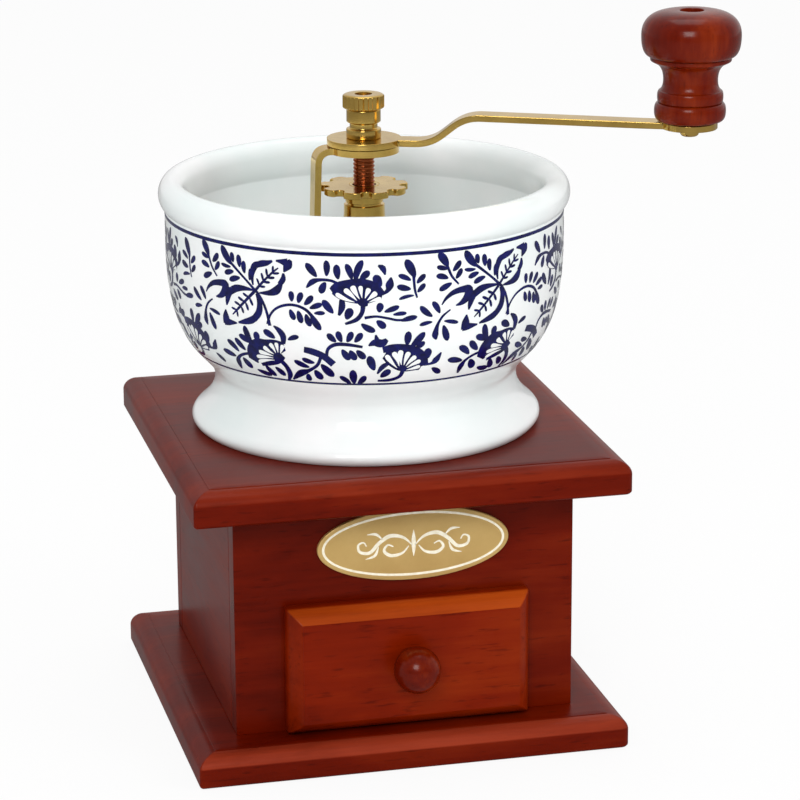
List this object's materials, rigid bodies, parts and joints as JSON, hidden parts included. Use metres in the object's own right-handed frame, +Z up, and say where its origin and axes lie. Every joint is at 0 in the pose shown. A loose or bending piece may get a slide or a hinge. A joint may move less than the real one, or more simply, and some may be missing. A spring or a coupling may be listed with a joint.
{
  "type": "manual coffee grinder",
  "caption": "Table coffee grinder: square wooden case with a drawer, round porcelain hopper, and a crank that turns a cone burr set by a star wheel.",
  "frame": {"origin": "under the base board, on the vertical axis of the spindle", "axes": "+Z up along the spindle, -Y towards the drawer front, +X to the right seen from the front"},
  "size_m": [0.1821, 0.1467, 0.2324],
  "materials": {
    "case_wood": "glossy varnished dark red-brown",
    "drawer_wood": "glossy varnished red-brown",
    "plain_wood": "plain sanded",
    "knob_wood": "turned and varnished",
    "porcelain": "glazed white porcelain with a blue underglaze scroll",
    "brass": "polished",
    "plate_gold": "satin gold",
    "copper": "bare copper alloy",
    "iron": "cast",
    "steel": "plain"
  },
  "bodies": {
    "case": {"base_board": "case_wood", "top_board": "case_wood", "front_panel": "case_wood", "back_panel": "case_wood", "left_panel": "case_wood", "right_panel": "case_wood", "left_runner": "plain_wood", "right_runner": "plain_wood", "oval_plate": "plate_gold", "hopper_bowl": "porcelain", "outer_burr": "iron", "lower_bridge": "iron", "bracket": "brass", "threaded_sleeve": "copper", "return_spring": "steel", "flange_screw_1": "steel", "flange_screw_2": "steel", "flange_screw_3": "steel", "flange_screw_4": "steel", "base_screw_1": "steel", "base_screw_2": "steel", "base_screw_3": "steel", "base_screw_4": "steel"},
    "carriage": {"thrust_collar": "steel"},
    "adjuster": {"star_wheel": "brass", "adjuster_hub": "brass"},
    "spindle_group": {"spindle": "steel", "inner_burr": "iron", "burr_washer": "steel", "burr_nut": "steel", "crank_arm": "brass", "crank_boss": "brass", "cap_nut": "brass", "knob_screw": "brass"},
    "hand_knob": {"crank_knob": "knob_wood"},
    "drawer": {"drawer_front": "drawer_wood", "drawer_left": "plain_wood", "drawer_right": "plain_wood", "drawer_back": "plain_wood", "drawer_bottom": "plain_wood", "drawer_knob": "drawer_wood", "drawer_knob_screw": "steel"}
  },
  "joints": [
    {"name": "grind_gap", "type": "slide", "parent": "case", "child": "carriage", "axis": [0, 0, 1], "range_m": [0, 0.00125], "deforming": ["return_spring"]},
    {"name": "adjuster_turn", "type": "hinge", "parent": "carriage", "child": "adjuster", "pos_m": [0, 0, 0.173], "axis": [0, 0, 1], "range_deg": [0, 360]},
    {"name": "crank_turn", "type": "hinge", "parent": "carriage", "child": "spindle_group", "pos_m": [0, 0, 0.188], "axis": [0, 0, 1], "continuous": true},
    {"name": "knob_spin", "type": "hinge", "parent": "spindle_group", "child": "hand_knob", "pos_m": [0.09643, -0.03896, 0.2], "axis": [0, 0, 1], "continuous": true},
    {"name": "drawer_slide", "type": "slide", "parent": "case", "child": "drawer", "axis": [0, -1, 0], "range_m": [0, 0.1]}
  ],
  "couplings": [
    {"joint": "adjuster_turn", "follows": "grind_gap", "rad_per_m": 5026.5}
  ]
}
